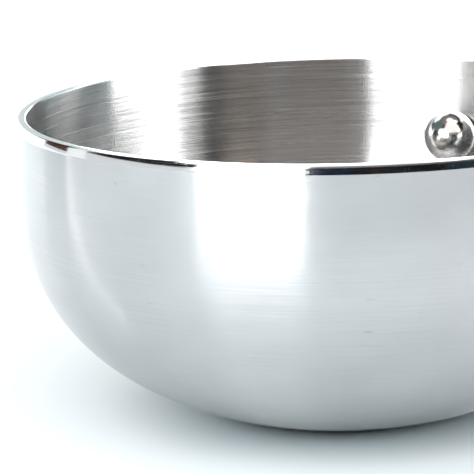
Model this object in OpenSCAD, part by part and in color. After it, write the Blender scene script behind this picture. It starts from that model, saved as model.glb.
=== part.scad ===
// Steel lathering bowl with a ball thumb grip screwed through its wall.
// Origin at the middle of the foot, +Z up, thumb grip on the +Y side.

/* [Bowl] */
// Outside diameter at the rim
bowl_d = 108; // [98:1:118]
// Height from the foot to the top of the rim
bowl_h = 51; // [46:1:56]
// Thickness of the spun wall
wall = 1.8; // [1.6:0.1:2.2]
// Height of the straight band under the rim
band_h = 7; // [5:0.5:9]
// Diameter of the flat foot
foot_d = 36; // [28:1:42]
// How full the side is: 2 is an ellipse, higher is rounder at the shoulder
fullness = 2.8; // [2.4:0.1:3.2]

/* [Rim] */
// Height of the ground outer edge, which leans in
ease_h = 1.4; // [1:0.1:1.6]
// Lean of the ground edge where it starts, in degrees
ease_foot = 7; // [4:1:9]
// Lean of the ground edge under the top, in degrees
ease_top = 16; // [12:1:20]
// Radius of both broken corners of the rim
rim_break = 0.2; // [0.1:0.05:0.3]

/* [Thumb grip] */
// Diameter of the ball
ball_d = 9.5; // [9:0.5:12]
// Depth of the ball's centre below the rim
grip_drop = 13.4; // [11:0.1:15]
// Length of the seat collar, from ball to gasket
collar_l = 1; // [1:0.1:1.8]
// Diameter of the collar where it meets the ball
collar_neck_d = 5.2; // [5.2:0.1:5.6]
// Diameter of the collar's foot
collar_foot_d = 6; // [5.8:0.1:6]
// Thickness of the collar's foot
collar_foot_t = 0.4; // [0.3:0.05:0.5]

/* [Seals and fastener] */
// Thickness of each gasket at the middle
gasket_t = 0.6; // [0.5:0.1:0.8]
// Diameter of the outer gasket and of the washer
washer_d = 7; // [6.5:0.25:8]
// Thickness of the washer
washer_t = 0.5; // [0.4:0.1:0.8]
// Clearance hole for the screw
clear_d = 3.3; // [3.2:0.1:3.5]
// Diameter of the screw's head
head_d = 5.7; // [5.5:0.1:6]
// Height of the screw's head
head_h = 1.65; // [1.5:0.05:1.9]
// Width across the flats of the hexagon socket
socket_af = 2; // [1.5:0.5:2]
// Length of the screw under its head
screw_l = 10; // [9:0.5:10.5]

/* [Hidden] */
// An M3 thread is drawn plain, at its pitch diameter.
thread_d = 2.675;
side_steps = 36;
arc_steps = 8;
rim_r = bowl_d / 2;
foot_r = foot_d / 2;
curve_h = (bowl_h - band_h) / pow(1 - pow(foot_r / rim_r, 2), 1 / fullness);
foot_angle = acos(foot_r / rim_r);
foot_slope = 90 - atan2(normal_z(foot_angle), normal_r(foot_angle));
// The ground edge is an arc about (ease_x, ease_z) that runs into the broken corner.
ease_r = (ease_h - rim_break * (1 - sin(ease_top))) / (sin(ease_top) - sin(ease_foot));
ease_x = rim_r - ease_r * cos(ease_foot);
ease_z = bowl_h - ease_h - ease_r * sin(ease_foot);
corner_x = ease_x + (ease_r - rim_break) * cos(ease_top);
grip_z = bowl_h - grip_drop;
wall_out_y = rim_r * sqrt(1 - pow((grip_drop - band_h) / curve_h, fullness));
wall_in_y = wall_out_y - wall;
collar_y = wall_in_y - gasket_t - collar_l;
ball_y = collar_y - sqrt(pow(ball_d / 2, 2) - pow(collar_neck_d / 2, 2));
washer_y = wall_out_y + gasket_t;
head_y = washer_y + washer_t;
tip_y = head_y - screw_l;
// The tapped hole in the ball goes this far past the screw's tip.
tap_spare = 0.6;
tip_chamfer = 0.3;
socket_depth = 1;

// The side below the straight band is a superellipse, followed by the angle a from the band down.
function side_r(a) = rim_r * cos(a);
function side_depth(a) = curve_h * pow(sin(a), 2 / fullness);
function normal_r(a) = 2 * cos(a) / rim_r;
function normal_z(a) = fullness * pow(sin(a), 2 - 2 / fullness) / curve_h;
// A point of the side, moved inward along its normal.
function side_point(a, inset) =
    let (n = [normal_r(a), -normal_z(a)])
    [side_r(a), bowl_h - band_h - side_depth(a)] - inset * n / norm(n);
function outer_side() = [for (i = [0 : side_steps - 1]) side_point(i * foot_angle / side_steps, 0)];
function inner_side() = [for (i = [0 : side_steps - 1]) side_point(i * foot_angle / side_steps, wall)];
inner_foot_r = foot_r - wall * tan(foot_slope / 2);

function arc(cx, cy, r, from, to) =
    [for (i = [0 : arc_steps]) let (a = from + (to - from) * i / arc_steps) [cx + r * cos(a), cy + r * sin(a)]];
function reversed(points) = [for (i = [len(points) - 1 : -1 : 0]) points[i]];

// Outside of the bowl in section, from the middle of the foot to the middle of the rim.
module outside_section() {
    polygon(concat(
        [[0, 0], [foot_r, 0]],
        reversed(outer_side()),
        arc(ease_x, ease_z, ease_r, ease_foot, ease_top),
        arc(corner_x, bowl_h - rim_break, rim_break, ease_top, 90),
        [[0, bowl_h]]
    ));
}

// Inside of the bowl in section, carried on past the rim.
module inside_section() {
    inner_r = rim_r - wall;
    polygon(concat(
        [[0, wall], [inner_foot_r, wall]],
        reversed(inner_side()),
        arc(inner_r + rim_break, bowl_h - rim_break, rim_break, 180, 90),
        [[inner_r + rim_break, bowl_h + 1], [0, bowl_h + 1]]
    ));
}

// Turns a shape drawn along +Z from the origin so that it runs along +Y from the distance y.
module along_grip(y) {
    translate([0, y, grip_z]) rotate([-90, 0, 0]) children();
}

module screw_hole(d) {
    along_grip(0) cylinder(h = rim_r + 10, d = d, $fn = 48);
}

module bowl() {
    color("silver") difference() {
        rotate_extrude($fn = 180) difference() {
            outside_section();
            inside_section();
        }
        screw_hole(clear_d);
    }
}

module grip_ball() {
    hole_l = collar_y - tip_y + tap_spare;
    color("gainsboro") difference() {
        along_grip(ball_y) sphere(d = ball_d, $fn = 96);
        along_grip(collar_y) cylinder(h = ball_d, d = ball_d, $fn = 48);
        along_grip(collar_y - hole_l) cylinder(h = hole_l + 1, d = thread_d, $fn = 48);
    }
}

module grip_collar() {
    neck_r = collar_neck_d / 2;
    flange_r = collar_foot_d / 2;
    sweep_r = flange_r - neck_r;
    color("gainsboro") along_grip(collar_y) rotate_extrude($fn = 72) polygon(concat(
        [[clear_d / 2, 0], [neck_r, 0]],
        arc(flange_r, collar_l - collar_foot_t - sweep_r, sweep_r, 180, 90),
        [[flange_r, collar_l], [clear_d / 2, collar_l]]
    ));
}

module inner_gasket() {
    color("dimgray") difference() {
        intersection() {
            along_grip(wall_in_y - gasket_t) cylinder(h = gasket_t + 1, d = collar_foot_d, $fn = 72);
            rotate_extrude($fn = 360) inside_section();
        }
        screw_hole(clear_d);
    }
}

module outer_gasket() {
    color("dimgray") difference() {
        along_grip(wall_out_y - 1) cylinder(h = gasket_t + 1, d = washer_d, $fn = 72);
        rotate_extrude($fn = 360) outside_section();
        screw_hole(clear_d);
    }
}

module outer_washer() {
    color("silver") along_grip(washer_y) difference() {
        cylinder(h = washer_t, d = washer_d, $fn = 72);
        translate([0, 0, -1]) cylinder(h = washer_t + 2, d = clear_d, $fn = 48);
    }
}

// Button-head socket screw: shank with a chamfered tip, and a domed head.
module grip_screw() {
    shank_r = thread_d / 2;
    head_r = head_d / 2;
    crown_r = head_d / 4;
    color("gainsboro") along_grip(tip_y) difference() {
        rotate_extrude($fn = 72) polygon(concat(
            [[0, 0], [shank_r - tip_chamfer, 0], [shank_r, tip_chamfer], [shank_r, screw_l]],
            [[head_r, screw_l]],
            [for (i = [1 : arc_steps]) let (t = 90 * i / arc_steps)
                [crown_r + (head_r - crown_r) * cos(t), screw_l + head_h * sin(t)]],
            [[0, screw_l + head_h]]
        ));
        translate([0, 0, screw_l + head_h - socket_depth])
            cylinder(h = socket_depth + 1, d = socket_af / cos(30), $fn = 6);
    }
}

bowl();
grip_ball();
grip_collar();
inner_gasket();
outer_gasket();
outer_washer();
grip_screw();
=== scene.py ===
# Looks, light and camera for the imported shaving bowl. All lengths are in metres.
import bmesh
import bpy
from math import acos, asin, cos, degrees, hypot, pi, radians, sin, sqrt
from mathutils import Matrix, Vector


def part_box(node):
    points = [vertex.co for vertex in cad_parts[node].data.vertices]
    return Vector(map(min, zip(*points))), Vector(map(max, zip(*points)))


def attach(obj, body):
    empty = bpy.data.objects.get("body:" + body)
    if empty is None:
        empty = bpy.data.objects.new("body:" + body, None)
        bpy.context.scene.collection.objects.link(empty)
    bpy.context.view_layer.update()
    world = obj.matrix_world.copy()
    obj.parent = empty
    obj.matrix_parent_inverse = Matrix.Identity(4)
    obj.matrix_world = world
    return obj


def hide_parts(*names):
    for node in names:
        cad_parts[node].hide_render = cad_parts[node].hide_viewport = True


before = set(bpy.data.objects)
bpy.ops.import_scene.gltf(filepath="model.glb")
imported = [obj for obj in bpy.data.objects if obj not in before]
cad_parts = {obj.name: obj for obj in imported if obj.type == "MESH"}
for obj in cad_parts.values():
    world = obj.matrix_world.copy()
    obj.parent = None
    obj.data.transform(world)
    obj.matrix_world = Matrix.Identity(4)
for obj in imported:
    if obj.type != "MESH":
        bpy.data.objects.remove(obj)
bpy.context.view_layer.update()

# ---------------------------------------------------------------- sizes

MM = 0.001

bowl_lo, bowl_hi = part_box("bowl")
ball_lo, ball_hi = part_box("grip_ball")
collar_lo, collar_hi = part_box("grip_collar")
washer_lo, washer_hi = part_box("outer_washer")
screw_lo, screw_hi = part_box("grip_screw")

RIM_R = (bowl_hi.x - bowl_lo.x) / 2
BOWL_H = bowl_hi.z
GRIP_Z = (ball_lo.z + ball_hi.z) / 2
BALL_R = (ball_hi.x - ball_lo.x) / 2
COLLAR_FOOT_R = (collar_hi.x - collar_lo.x) / 2
WASHER_R = (washer_hi.x - washer_lo.x) / 2
HEAD_R = (screw_hi.x - screw_lo.x) / 2

# Dimensions of the CAD source that no box gives.
WALL = 1.8 * MM
BAND_H = 7.0 * MM
FOOT_R = 18.0 * MM
FULLNESS = 2.8
EASE_H = 1.4 * MM
EASE_FOOT = 7.0
EASE_TOP = 16.0
RIM_BREAK = 0.2 * MM
COLLAR_NECK_R = 2.6 * MM
COLLAR_FOOT_T = 0.4 * MM
# The thread's radius is rounded down from 1.3375 mm.
THREAD_R = 1.33 * MM
CLEAR_R = 1.65 * MM
SOCKET_AF = 2.0 * MM
SOCKET_DEPTH = 1.0 * MM
TAP_SPARE = 0.6 * MM
TIP_CHAMFER = 0.3 * MM

CURVE_H = (BOWL_H - BAND_H) / (1 - (FOOT_R / RIM_R) ** 2) ** (1 / FULLNESS)
FOOT_ANGLE = acos(FOOT_R / RIM_R)

# The side runs over this share of its angle, and a soft corner takes it on to the foot.
SIDE_SHARE = 0.97

# Soft edges that only the visual model has.
TAP_MOUTH = 0.3 * MM
COLLAR_SOFT = 0.08 * MM
GASKET_BULGE = 0.15 * MM
WASHER_SOFT = 0.15 * MM
HEAD_SOFT = 0.1 * MM
SOCKET_POINT = 0.3 * MM

# ---------------------------------------------------------------- mesh helpers

# A radius below this counts as zero.
ON_AXIS = 1e-7


def arc(centre, radius, start, end, steps):
    """Points of a circular arc in section, angles in degrees."""
    angles = [radians(start + (end - start) * i / steps) for i in range(steps + 1)]
    return [(centre[0] + radius * cos(a), centre[1] + radius * sin(a)) for a in angles]


def bezier(start, corner, end, steps):
    """Points of a soft corner that leaves start and reaches end along the lines to the corner."""
    points = []
    for i in range(steps + 1):
        t = i / steps
        share = ((1 - t) ** 2, 2 * t * (1 - t), t * t)
        points.append(tuple(sum(s * p[k] for s, p in zip(share, (start, corner, end))) for k in (0, 1)))
    return points


def straight(start, end, steps):
    """Points between two ends, without the ends."""
    shares = [i / steps for i in range(1, steps)]
    return [(start[0] + (end[0] - start[0]) * t, start[1] + (end[1] - start[1]) * t) for t in shares]


def ring(bm, radius, height, segments):
    """A ring of vertices about Z, or one vertex on the axis."""
    if radius < ON_AXIS:
        return [bm.verts.new((0, 0, height))]
    angles = [2 * pi * k / segments for k in range(segments)]
    return [bm.verts.new((radius * cos(a), radius * sin(a), height)) for a in angles]


def skin(bm, low, high, segments, slot):
    """Faces between two rings, or between a ring and a vertex on the axis."""
    for k in range(segments):
        m = (k + 1) % segments
        if len(low) == 1:
            face = bm.faces.new((low[0], high[m], high[k]))
        elif len(high) == 1:
            face = bm.faces.new((low[k], low[m], high[0]))
        else:
            face = bm.faces.new((low[k], low[m], high[m], high[k]))
        face.material_index = slot
        face.smooth = True


def lathe(name, stretches, segments, closed=False):
    """A piece turned about Z from stretches of (points, material index). A point is (radius, height)."""
    bm = bmesh.new()
    points = [(point, slot) for stretch, slot in stretches for point in stretch]
    rings = [ring(bm, point[0], point[1], segments) for point, slot in points]
    slots = [slot for point, slot in points]
    for i in range(len(rings) - 1):
        skin(bm, rings[i], rings[i + 1], segments, slots[i + 1])
    if closed:
        skin(bm, rings[-1], rings[0], segments, slots[0])
    bmesh.ops.recalc_face_normals(bm, faces=bm.faces)
    return as_piece(name, bm)


def as_piece(name, bm):
    mesh = bpy.data.meshes.new(name)
    bm.to_mesh(mesh)
    bm.free()
    piece = bpy.data.objects.new(name, mesh)
    bpy.context.scene.collection.objects.link(piece)
    return piece


def along_grip(piece, y):
    """Lays a piece that was made along +Z along +Y instead, from y, at the grip's height."""
    piece.data.transform(Matrix.Translation((0, y, GRIP_Z)) @ Matrix.Rotation(radians(-90), 4, "X"))
    return piece


def cut(piece, tool):
    """Takes the tool's shape out of the piece, for good."""
    change = piece.modifiers.new("cut", "BOOLEAN")
    change.operation = "DIFFERENCE"
    change.solver = "EXACT"
    change.object = tool
    found = piece.evaluated_get(bpy.context.evaluated_depsgraph_get())
    mesh = bpy.data.meshes.new_from_object(found)
    piece.modifiers.clear()
    piece.data = mesh
    bpy.data.objects.remove(tool)


def crisp(piece, angle):
    """Keeps the edges that are sharper than the angle as edges, in a piece that is otherwise smooth."""
    bm = bmesh.new()
    bm.from_mesh(piece.data)
    for edge in bm.edges:
        edge.smooth = not (len(edge.link_faces) == 2 and edge.calc_face_angle(0) > radians(angle))
    bm.to_mesh(piece.data)
    bm.free()


def finish(piece, node, slot, *materials, crease=30):
    """Gives a finished piece its materials and its body, and hides the CAD node that it stands for."""
    crisp(piece, crease)
    for material in materials:
        piece.data.materials.append(material)
    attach(piece, "root")
    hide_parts(node)


# ---------------------------------------------------------------- bowl outline


def side_slope(a):
    """The outward normal of the side below the band, at the angle a of the CAD outline."""
    normal = (2 * cos(a) / RIM_R, -FULLNESS * sin(a) ** (2 - 2 / FULLNESS) / CURVE_H)
    size = hypot(*normal)
    return (normal[0] / size, normal[1] / size)


def side_point(a, inset):
    """A point of the side below the band, moved inward along its normal."""
    normal = side_slope(a)
    height = BOWL_H - BAND_H - CURVE_H * sin(a) ** (2 / FULLNESS)
    return (RIM_R * cos(a) - inset * normal[0], height - inset * normal[1])


def side(inset, steps=100):
    """The side from the band towards the foot, in steps that are even near the band too."""
    shares = [SIDE_SHARE * (i / steps) ** (FULLNESS / 2) for i in range(steps + 1)]
    return [side_point(share * FOOT_ANGLE, inset) for share in shares]


def foot_blend(inset, floor):
    """The soft corner from the end of the side into the flat of the foot."""
    start = side(inset)[-1]
    normal = side_slope(SIDE_SHARE * FOOT_ANGLE)
    run = (start[1] - floor) / normal[0]
    corner = (start[0] + run * normal[1], floor)
    end = (corner[0] - (start[0] - corner[0]), floor)
    return bezier(start, corner, end, 10)[1:]


def wall_y(x, z, inset):
    """How far out along +Y the wall's surface is at a place on it, near the grip."""
    a = asin(((BOWL_H - BAND_H - z) / CURVE_H) ** (FULLNESS / 2))
    radius = RIM_R * cos(a) - inset / side_slope(a)[0]
    return sqrt(radius ** 2 - x ** 2)


# ---------------------------------------------------------------- pieces

OUTSIDE, INSIDE, EDGE = 0, 1, 2


def rim_section(inner_r):
    """The outline over the rim: the ground edge that leans in, then the flat top between broken corners."""
    foot, top = radians(EASE_FOOT), radians(EASE_TOP)
    radius = (EASE_H - RIM_BREAK * (1 - sin(top))) / (sin(top) - sin(foot))
    centre = (RIM_R - radius * cos(foot), BOWL_H - EASE_H - radius * sin(foot))
    corner_r = centre[0] + (radius - RIM_BREAK) * cos(top)
    section = arc(centre, radius, EASE_FOOT, EASE_TOP, 12)
    section += arc((corner_r, BOWL_H - RIM_BREAK), RIM_BREAK, EASE_TOP, 90, 14)[1:]
    section += arc((inner_r + RIM_BREAK, BOWL_H - RIM_BREAK), RIM_BREAK, 90, 180, 16)
    return section


def bowl_outline():
    """Three stretches with their material index, from the middle of the foot over the rim to the inside."""
    inner_r = RIM_R - WALL
    band_end = BOWL_H - BAND_H
    outer_band = straight((RIM_R, BOWL_H - EASE_H), (RIM_R, band_end), 10)
    inner_band = straight((inner_r, BOWL_H - RIM_BREAK), (inner_r, band_end), 14)
    outside = [(0, 0)]
    outside += foot_blend(0, 0)[::-1] + side(0)[::-1]
    outside += outer_band[::-1] + [(RIM_R, BOWL_H - EASE_H)]
    inside = inner_band + side(WALL) + foot_blend(WALL, WALL) + [(0, WALL)]
    return [(outside, OUTSIDE), (rim_section(inner_r), EDGE), (inside, INSIDE)]


def make_bowl(polished, brushed, edge):
    bowl = lathe("bowl_shell", bowl_outline(), segments=400)
    length = 20 * MM
    shape = [(0, 0), (CLEAR_R, 0), (CLEAR_R, length), (0, length)]
    hole = lathe("hole", [(shape, OUTSIDE)], segments=96)
    cut(bowl, along_grip(hole, RIM_R - length / 2))
    finish(bowl, "bowl", "bowl_steel", polished, brushed, edge, crease=6)


def make_ball(mirror):
    centre = ball_lo.y + BALL_R
    flat = ball_hi.y - centre
    bore_end = screw_lo.y - TAP_SPARE - centre
    shape = arc((0, 0), BALL_R, -90, degrees(asin(flat / BALL_R)), 96)
    shape[0] = (0, -BALL_R)
    shape += [(THREAD_R + TAP_MOUTH, flat), (THREAD_R, flat - TAP_MOUTH)]
    shape += [(THREAD_R, bore_end), (0, bore_end)]
    ball = lathe("ball_of_grip", [(shape, 0)], segments=160)
    finish(along_grip(ball, centre), "grip_ball", "polished_steel", mirror)


def make_collar(mirror):
    length = collar_hi.y - collar_lo.y
    sweep = COLLAR_FOOT_R - COLLAR_NECK_R
    soft_r = COLLAR_FOOT_R - COLLAR_SOFT
    shape = [(CLEAR_R, 0), (COLLAR_NECK_R, 0)]
    shape += arc((COLLAR_FOOT_R, length - COLLAR_FOOT_T - sweep), sweep, 180, 95, 24)
    shape += arc((soft_r, length - COLLAR_FOOT_T + COLLAR_SOFT), COLLAR_SOFT, -90, 0, 6)
    shape += arc((soft_r, length - COLLAR_SOFT), COLLAR_SOFT, 0, 90, 6)
    shape += [(CLEAR_R, length)]
    collar = lathe("collar_of_grip", [(shape, 0)], segments=144, closed=True)
    finish(along_grip(collar, collar_lo.y), "grip_collar", "polished_steel", mirror)


def make_gasket(name, node, radius, flat_y, inset, rubber):
    """A rubber ring, flat on one side, whose other side follows the wall. Its rim bulges a little.

    It is made with heights from 0 to 1, which are then stretched from the flat side to the wall.
    """
    inner, outer = CLEAR_R, radius - GASKET_BULGE
    near = straight((inner, 0), (outer, 0), 16)
    bulge = arc((outer, 0), GASKET_BULGE, -90, 90, 16)
    rim = [(r, z / (2 * GASKET_BULGE) + 0.5) for r, z in bulge]
    far = straight((outer, 1), (inner, 1), 16)
    shape = [(inner, 0)] + near + rim + far + [(inner, 1)]
    gasket = along_grip(lathe(name, [(shape, 0)], segments=128, closed=True), 0)
    for vertex in gasket.data.vertices:
        share = vertex.co.y
        on_wall = wall_y(vertex.co.x, vertex.co.z, inset)
        vertex.co.y = flat_y + share * (on_wall - flat_y)
    finish(gasket, node, "seal_rubber", rubber)


def make_washer(turned):
    thick = washer_hi.y - washer_lo.y
    soft = WASHER_SOFT
    shape = [(CLEAR_R, soft), (CLEAR_R + soft, 0), (WASHER_R - soft, 0)]
    shape += [(WASHER_R, soft), (WASHER_R, thick - soft)]
    shape += [(WASHER_R - soft, thick), (CLEAR_R + soft, thick), (CLEAR_R, thick - soft)]
    washer = lathe("washer_of_grip", [(shape, 0)], segments=128, closed=True)
    finish(along_grip(washer, washer_lo.y), "outer_washer", "polished_steel", turned)


def make_screw(turned):
    seat = washer_hi.y - screw_lo.y
    top = screw_hi.y - screw_lo.y
    dome_z = seat + HEAD_SOFT
    crown_r = HEAD_R / 2
    shape = [(0, 0), (THREAD_R - TIP_CHAMFER, 0), (THREAD_R, TIP_CHAMFER)]
    shape += [(THREAD_R, seat), (HEAD_R - HEAD_SOFT, seat)]
    for across, up in arc((0, 0), 1, 0, 90, 24):
        shape.append((crown_r + (HEAD_R - crown_r) * across, dome_z + (top - dome_z) * up))
    shape.append((0, top))
    screw = lathe("screw_of_grip", [(shape, 0)], segments=128)
    cut(screw, socket_tool(top))
    finish(along_grip(screw, screw_lo.y), "grip_screw", "polished_steel", turned)


def socket_tool(top):
    """The shape of the hexagon socket, with a shallow point at its floor, carried on past the head's top."""
    radius = SOCKET_AF / 2 / cos(pi / 6)
    floor = top - SOCKET_DEPTH
    end = top + 1 * MM
    shape = [(0, floor - SOCKET_POINT), (radius, floor), (radius, end), (0, end)]
    return lathe("socket", [(shape, 0)], segments=6)


# ---------------------------------------------------------------- materials

# Of a full turn, as Anisotropic Rotation counts.
QUARTER_TURN = 0.25


class Shader:
    """A node material that is easy to wire. Where nothing else is said, a method returns a node's output."""

    def __init__(self, name):
        self.material = bpy.data.materials.new(name)
        self.material.use_nodes = True
        self.tree = self.material.node_tree
        self.surface = self.tree.nodes["Principled BSDF"]

    def link(self, value, socket):
        """Joins another node's output to a socket, or sets the socket to a plain value."""
        if isinstance(value, bpy.types.NodeSocket):
            self.tree.links.new(value, socket)
        else:
            socket.default_value = value

    def node(self, kind, inputs=(), **settings):
        """Adds a node with its settings and its inputs, and returns the node itself."""
        node = self.tree.nodes.new(kind)
        for key, value in settings.items():
            setattr(node, key, value)
        for key, value in dict(inputs).items():
            self.link(value, node.inputs[key])
        return node

    def math(self, operation, a, b=0.0):
        return self.node("ShaderNodeMath", {0: a, 1: b}, operation=operation).outputs[0]

    def vector(self, operation, a, b=(0, 0, 0)):
        """A step of vector arithmetic. For SCALE the second input is a number."""
        inputs = {0: a, "Scale" if operation == "SCALE" else 1: b}
        node = self.node("ShaderNodeVectorMath", inputs, operation=operation)
        return node.outputs["Value" if operation == "LENGTH" else "Vector"]

    def place(self):
        return self.node("ShaderNodeTexCoord").outputs["Object"]

    def noise(self, vector, scale, detail=2.0, rough=0.5):
        inputs = {"Vector": vector, "Scale": scale, "Detail": detail, "Roughness": rough}
        return self.node("ShaderNodeTexNoise", inputs).outputs["Fac"]

    def spread(self, value, low, high, to_low, to_high):
        """Maps a value from one range to another and holds it there."""
        inputs = {"Value": value, "From Min": low, "From Max": high, "To Min": to_low, "To Max": to_high}
        return self.node("ShaderNodeMapRange", inputs).outputs["Result"]

    def mix(self, share, a, b):
        """Mixes two colours: inputs 6 and 7 of the Mix node, with the result as its output 2."""
        node = self.node("ShaderNodeMix", data_type="RGBA")
        self.link(share, node.inputs["Factor"])
        self.link(a, node.inputs[6])
        self.link(b, node.inputs[7])
        return node.outputs[2]

    def bump(self, height, distance, over=None):
        inputs = {"Height": height, "Distance": distance, "Strength": 1.0}
        if over is not None:
            inputs["Normal"] = over
        return self.node("ShaderNodeBump", inputs).outputs["Normal"]

    def rings(self, along, across):
        """A place for ring marks: how many features round the axis, and how many per metre of outline."""
        place = self.place()
        flat = self.vector("MULTIPLY", place, (1, 1, 0))
        radius = self.vector("LENGTH", flat)
        height = self.node("ShaderNodeSeparateXYZ", {0: place}).outputs["Z"]
        outline = self.math("MULTIPLY", self.math("ADD", radius, height), across)
        stacked = self.node("ShaderNodeCombineXYZ", {"Z": outline}).outputs[0]
        turned = self.vector("SCALE", self.vector("NORMALIZE", flat), along)
        return self.vector("ADD", turned, stacked)

    def lean(self, amount):
        """The surface's own normal, leant sideways round the axis by an amount either side of zero."""
        normal = self.node("ShaderNodeNewGeometry").outputs["Normal"]
        radial = self.vector("NORMALIZE", self.vector("MULTIPLY", self.place(), (1, 1, 0)))
        sideways = self.vector("SCALE", self.vector("CROSS_PRODUCT", radial, (0, 0, 1)), amount)
        return self.vector("NORMALIZE", self.vector("ADD", normal, sideways))

    def metal(self, colour, roughness, anisotropy, normal=None):
        """Makes the surface a metal, and returns the material."""
        self.surface.inputs["Metallic"].default_value = 1.0
        self.link(colour, self.surface.inputs["Base Color"])
        self.link(roughness, self.surface.inputs["Roughness"])
        if anisotropy:
            self.surface.inputs["Anisotropic"].default_value = anisotropy
            self.surface.inputs["Anisotropic Rotation"].default_value = QUARTER_TURN
            tangent = self.node("ShaderNodeTangent", direction_type="RADIAL", axis="Z").outputs[0]
            self.link(tangent, self.surface.inputs["Tangent"])
        if normal is not None:
            self.link(normal, self.surface.inputs["Normal"])
        return self.material


def polished_steel():
    """Outside of the bowl: buffed nearly to a mirror, with faint lines, a slight sway and a few nicks."""
    s = Shader("polished_steel")
    lines = s.noise(s.rings(3, 4000), 1.0, 3)
    cloud = s.noise(s.place(), 45.0, 2)
    sway = s.noise(s.place(), 75.0, 2)
    rough = s.math("ADD", s.spread(lines, 0.3, 0.7, 0.18, 0.21), s.spread(cloud, 0.3, 0.7, -0.01, 0.01))
    nicks = s.spread(s.noise(s.rings(25, 2600), 1.0, 1), 0.72, 0.78, 0.0, 0.5)
    shade = s.math("MULTIPLY", s.math("ADD", lines, sway), 0.5)
    clean = s.mix(s.spread(shade, 0.35, 0.65, 0.0, 1.0), (0.442, 0.450, 0.463, 1), (0.516, 0.520, 0.525, 1))
    tint = s.mix(nicks, clean, (0.3, 0.31, 0.33, 1))
    leant = s.lean(s.math("MULTIPLY", s.math("SUBTRACT", lines, 0.5), 0.02))
    wavy = s.bump(sway, 0.12 * MM, leant)
    return s.metal(tint, rough, 1.0, s.bump(lines, 0.001 * MM, wavy))


def brushed_steel():
    """Inside of the bowl: brushed in rings, whose strokes lean to both sides."""
    s = Shader("brushed_steel")
    fine = s.noise(s.rings(2, 5000), 1.0, 2, 0.6)
    strokes = s.noise(s.rings(1.5, 2400), 1.0, 1)
    rough = s.math("ADD", s.spread(fine, 0.3, 0.7, 0.22, 0.27), s.spread(strokes, 0.3, 0.7, -0.02, 0.02))
    tint = s.mix(s.spread(fine, 0.35, 0.65, 0.0, 1.0), (0.385, 0.39, 0.39, 1), (0.50, 0.50, 0.495, 1))
    both = s.math("SUBTRACT", s.math("ADD", fine, strokes), 1.0)
    leant = s.lean(s.math("MULTIPLY", both, 0.019))
    return s.metal(tint, rough, 0.97, s.bump(fine, 0.003 * MM, leant))


def edge_steel():
    """Ground rim of the bowl: polished, with fine specks and lines along it."""
    s = Shader("edge_steel")
    lines = s.noise(s.rings(6, 5000), 1.0, 2)
    specks = s.noise(s.place(), 3600.0, 3, 0.7)
    rough = s.math("ADD", s.spread(lines, 0.35, 0.7, 0.05, 0.12), s.spread(specks, 0.56, 0.75, 0.0, 0.16))
    tint = s.mix(specks, (0.72, 0.75, 0.78, 1), (0.80, 0.81, 0.82, 1))
    return s.metal(tint, rough, 0, s.bump(lines, 0.0002 * MM))


def mirror_steel():
    """Ball and collar: polished to a mirror, with a few hairlines."""
    s = Shader("mirror_steel")
    hair = s.noise(s.vector("MULTIPLY", s.place(), (2600, 500, 900)), 1.0, 3)
    rough = s.spread(hair, 0.3, 0.8, 0.13, 0.2)
    tint = s.mix(hair, (0.66, 0.67, 0.68, 1), (0.72, 0.72, 0.72, 1))
    return s.metal(tint, rough, 0, s.bump(hair, 0.001 * MM))


def turned_steel():
    """Washer and screw: turned stainless steel, satin."""
    s = Shader("turned_steel")
    grain = s.noise(s.place(), 5200.0, 3)
    rough = s.spread(grain, 0.3, 0.7, 0.2, 0.32)
    tint = s.mix(grain, (0.62, 0.62, 0.61, 1), (0.70, 0.70, 0.69, 1))
    return s.metal(tint, rough, 0, s.bump(grain, 0.003 * MM))


def rubber():
    s = Shader("seal_rubber")
    grain = s.noise(s.place(), 3500.0, 4)
    s.link(s.mix(grain, (0.02, 0.02, 0.021, 1), (0.05, 0.05, 0.052, 1)), s.surface.inputs["Base Color"])
    s.link(s.spread(grain, 0.3, 0.7, 0.55, 0.75), s.surface.inputs["Roughness"])
    s.link(s.bump(grain, 0.01 * MM), s.surface.inputs["Normal"])
    return s.material


def floor_paint():
    s = Shader("floor_white")
    grain = s.noise(s.place(), 60.0, 3)
    s.link(s.mix(grain, (0.86, 0.87, 0.88, 1), (0.88, 0.89, 0.90, 1)), s.surface.inputs["Base Color"])
    s.surface.inputs["Roughness"].default_value = 0.6
    s.surface.inputs["Specular IOR Level"].default_value = 0.2
    return s.material


# ---------------------------------------------------------------- camera, floor and light

# The photograph's viewing point: degrees round the bowl from -Y, metres from its axis and above its rim.
VIEW_AZIMUTH = 25.87
CAMERA_REACH = 0.396
CAMERA_RISE = 0.0661

# How the camera is turned there, in degrees, and its lens in millimetres.
CAMERA_YAW = -2.56
CAMERA_PITCH = 12.58
CAMERA_ROLL = -1.64
LENS = 182.3

# How far the cards stand from the middle of the rim.
BACKDROP_REACH = 2.8
FILL_REACH = 1.8
REFLECTOR_REACH = 2.0

GLOSSY_BOUNCES = 10


def around(azimuth, elevation=0.0):
    """The direction at an azimuth to the right of the camera's own, as seen from the bowl."""
    a, e = radians(VIEW_AZIMUTH + azimuth), radians(elevation)
    return Vector((sin(a) * cos(e), -cos(a) * cos(e), sin(e)))


def make_camera():
    data = bpy.data.cameras.new("camera")
    data.lens = LENS
    data.sensor_width = 36.0
    data.clip_start, data.clip_end = 0.01, 20.0
    camera = bpy.data.objects.new("camera", data)
    bpy.context.scene.collection.objects.link(camera)
    place = around(0) * CAMERA_REACH + Vector((0, 0, BOWL_H + CAMERA_RISE))
    turn = Matrix.Rotation(radians(VIEW_AZIMUTH - CAMERA_YAW), 4, "Z")
    turn @= Matrix.Rotation(radians(90 - CAMERA_PITCH), 4, "X")
    turn @= Matrix.Rotation(radians(CAMERA_ROLL), 4, "Z")
    camera.matrix_world = Matrix.Translation(place) @ turn
    bpy.context.scene.camera = camera


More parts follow.
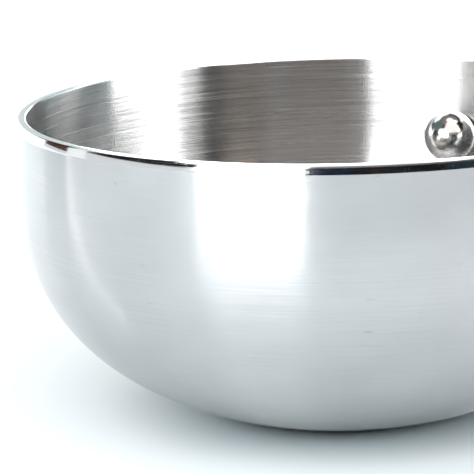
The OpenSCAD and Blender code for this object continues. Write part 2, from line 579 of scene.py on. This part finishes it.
def make_floor():
    half = 3.0
    bm = bmesh.new()
    bm.faces.new([bm.verts.new((x * half, y * half, 0)) for x, y in ((-1, -1), (1, -1), (1, 1), (-1, 1))])
    floor = as_piece("floor", bm)
    floor.data.materials.append(floor_paint())


def patch(name, azimuths, elevations, distance):
    """A curved card round the bowl, between two azimuths and two elevations in degrees."""
    steps = 8
    centre = Vector((0, 0, BOWL_H))
    bm = bmesh.new()
    grid = []
    for i in range(steps + 1):
        azimuth = azimuths[0] + (azimuths[1] - azimuths[0]) * i / steps
        heights = [elevations[0] + (elevations[1] - elevations[0]) * k / steps for k in range(steps + 1)]
        grid.append([bm.verts.new(around(azimuth, height) * distance + centre) for height in heights])
    for left, right in zip(grid, grid[1:]):
        for k in range(steps):
            bm.faces.new((left[k], right[k], right[k + 1], left[k + 1]))
    return as_piece(name, bm)


def glow_paint(name, glow, colour):
    material = bpy.data.materials.new(name)
    material.use_nodes = True
    tree = material.node_tree
    tree.nodes.clear()
    light = tree.nodes.new("ShaderNodeEmission")
    light.inputs["Color"].default_value = (*colour, 1)
    light.inputs["Strength"].default_value = glow
    end = tree.nodes.new("ShaderNodeOutputMaterial")
    tree.links.new(light.outputs[0], end.inputs["Surface"])
    return material


def set_glowing(card, glow, colour, camera=False, diffuse=False, glossy=False):
    """Makes a card glow, seen only by the kinds of ray that are named."""
    card.data.materials.append(glow_paint(card.name, glow, colour))
    card.visible_camera = camera
    card.visible_diffuse = diffuse
    card.visible_glossy = glossy
    card.visible_shadow = False


def fill(name, azimuths, elevations, glow, colour=(1, 1, 1)):
    """A card that lights the floor and the rubber, and that reflections don't see."""
    set_glowing(patch(name, azimuths, elevations, FILL_REACH), glow, colour, diffuse=True)


def reflector(name, azimuths, elevations, glow, colour=(1, 1, 1), distance=REFLECTOR_REACH):
    """A bright or dark card that only reflections see."""
    set_glowing(patch(name, azimuths, elevations, distance), glow, colour, glossy=True)


def painted_light_line(name, start, end, half_widths, glow):
    """A thin glowing strip just above the floor, a painted line of light that only reflections see, between
    two places of (azimuth, distance).
    """
    near, far = around(start[0]) * start[1], around(end[0]) * end[1]
    across = (far - near).cross(Vector((0, 0, 1))).normalized()
    lift = Vector((0, 0, 0.5 * MM))
    near_side, far_side = across * half_widths[0], across * half_widths[1]
    bm = bmesh.new()
    corners = (near - near_side, near + near_side, far + far_side, far - far_side)
    bm.faces.new([bm.verts.new(corner + lift) for corner in corners])
    set_glowing(as_piece(name, bm), glow, (1, 1, 1), glossy=True)


def make_world():
    world = bpy.data.worlds.new("studio")
    world.use_nodes = True
    background = world.node_tree.nodes["Background"]
    background.inputs["Color"].default_value = (0.8, 0.95, 1.0, 1)
    background.inputs["Strength"].default_value = 0.15
    world.cycles_visibility.glossy = False
    bpy.context.scene.world = world


def make_soft_light():
    """A white backdrop for the camera, and the light on the floor."""
    backdrop = patch("backdrop", (-180, 180), (-1, 30), BACKDROP_REACH)
    set_glowing(backdrop, 1.3, (1, 1, 1), camera=True)
    fill("fill_low", (-75, 75), (15, 28), 6.4, (0.80, 0.955, 1.0))
    fill("fill_high", (-75, 75), (28, 60), 2.75, (1.0, 0.99, 0.985))
    fill("fill_left", (-140, -75), (11, 28), 4.8, (0.80, 0.955, 1.0))
    fill("fill_back", (95, 265), (20, 60), 1.5)


def make_front_cards():
    """What the steel mirrors in front and overhead: a dark room with a tall key card and a warm window."""
    reflector("room", (-180, 180), (0, 90), 0.008, (0.8, 0.9, 1.1), 3.0)
    reflector("navy", (-10, 4), (0, 20), 0.03, (0.2, 0.45, 1.0), 2.5)
    reflector("rust", (9, 16), (0, 12), 0.02, (1.0, 0.5, 0.5), 2.5)
    reflector("teal", (36, 56), (0, 20), 0.035, (0.35, 0.8, 1.0), 2.5)
    reflector("key", (-48.5, -12.5), (3, 36), 14.0, (1, 1, 1), 1.95)
    reflector("window", (-34, 38), (26, 62), 1.5, (1.0, 0.91, 0.86))
    reflector("window_warm", (38, 52), (26, 62), 4.6, (1.0, 0.80, 0.67))
    reflector("window_sill", (-12.5, 52), (17, 26), 0.3)
    reflector("window_top", (-34, 95), (62, 79), 2.4, (1.0, 0.85, 0.76))
    reflector("window_cap", (-180, 180), (79, 90), 2.4, (1.0, 0.85, 0.76))
    reflector("key_tail", (-58, -48.5), (18, 36), 5.0)
    reflector("ceiling", (95, 326), (60, 79), 0.22)


def make_side_cards():
    """What the steel mirrors on the right and on the left."""
    reflector("left_high", (-115, -60), (25, 60), 0.2, (0.65, 1.0, 0.95))
    reflector("side", (67, 98.5), (0, 22), 17.0)
    reflector("side_tail", (57, 67), (0, 22), 5.0)
    reflector("right_low", (98.5, 150), (0, 30), 1.4, (0.75, 0.95, 1.05))
    reflector("right_band", (119, 130), (0, 30), 4.4, (1, 1, 1), 1.9)
    reflector("left_low", (-97, -49), (-1.2, 8), 0.85)
    reflector("left_gap", (-102, -92), (-6, 25), 1.15, (1, 1, 1), 0.45)
    # Painted light: a glowing strip on the floor, which the steel mirrors as a pale streak.
    painted_light_line("painted_light_streak", (-63, 0.073), (-104.5, 0.62), (0.0005, 0.007), 3.2)
    reflector("left_brown", (-123, -104), (1.5, 25), 0.08, (1.0, 0.35, 0.25))
    reflector("left_far", (-123, -104), (-1.2, 1.5), 0.85)


def make_back_cards():
    """What the steel mirrors behind: a low bright horizon for the flat of the rim, and two high cards."""
    reflector("back_high", (105, 135), (44, 50), 3.0)
    reflector("back_left", (-180, -120), (35, 55), 1.8)
    reflector("horizon", (165, 187.2), (-1.2, 14), 4.2)
    reflector("horizon_gap", (187.2, 190), (-1.2, 14), 0.8, (0.9, 1.0, 1.0))
    reflector("horizon_left", (190, 237), (-1.2, 14), 4.2)


# ---------------------------------------------------------------- making

make_camera()
make_floor()
make_world()
make_soft_light()
make_front_cards()
make_side_cards()
make_back_cards()
mirror = mirror_steel()
turned = turned_steel()
seal = rubber()
make_bowl(polished_steel(), brushed_steel(), edge_steel())
make_ball(mirror)
make_collar(mirror)
make_gasket("inner_seal", "inner_gasket", COLLAR_FOOT_R, collar_hi.y, WALL, seal)
make_gasket("outer_seal", "outer_gasket", WASHER_R, washer_lo.y, 0, seal)
make_washer(turned)
make_screw(turned)
bpy.context.scene.view_settings.view_transform = "Standard"
bpy.context.scene.cycles.glossy_bounces = GLOSSY_BOUNCES
bpy.context.scene.cycles.caustics_reflective = False
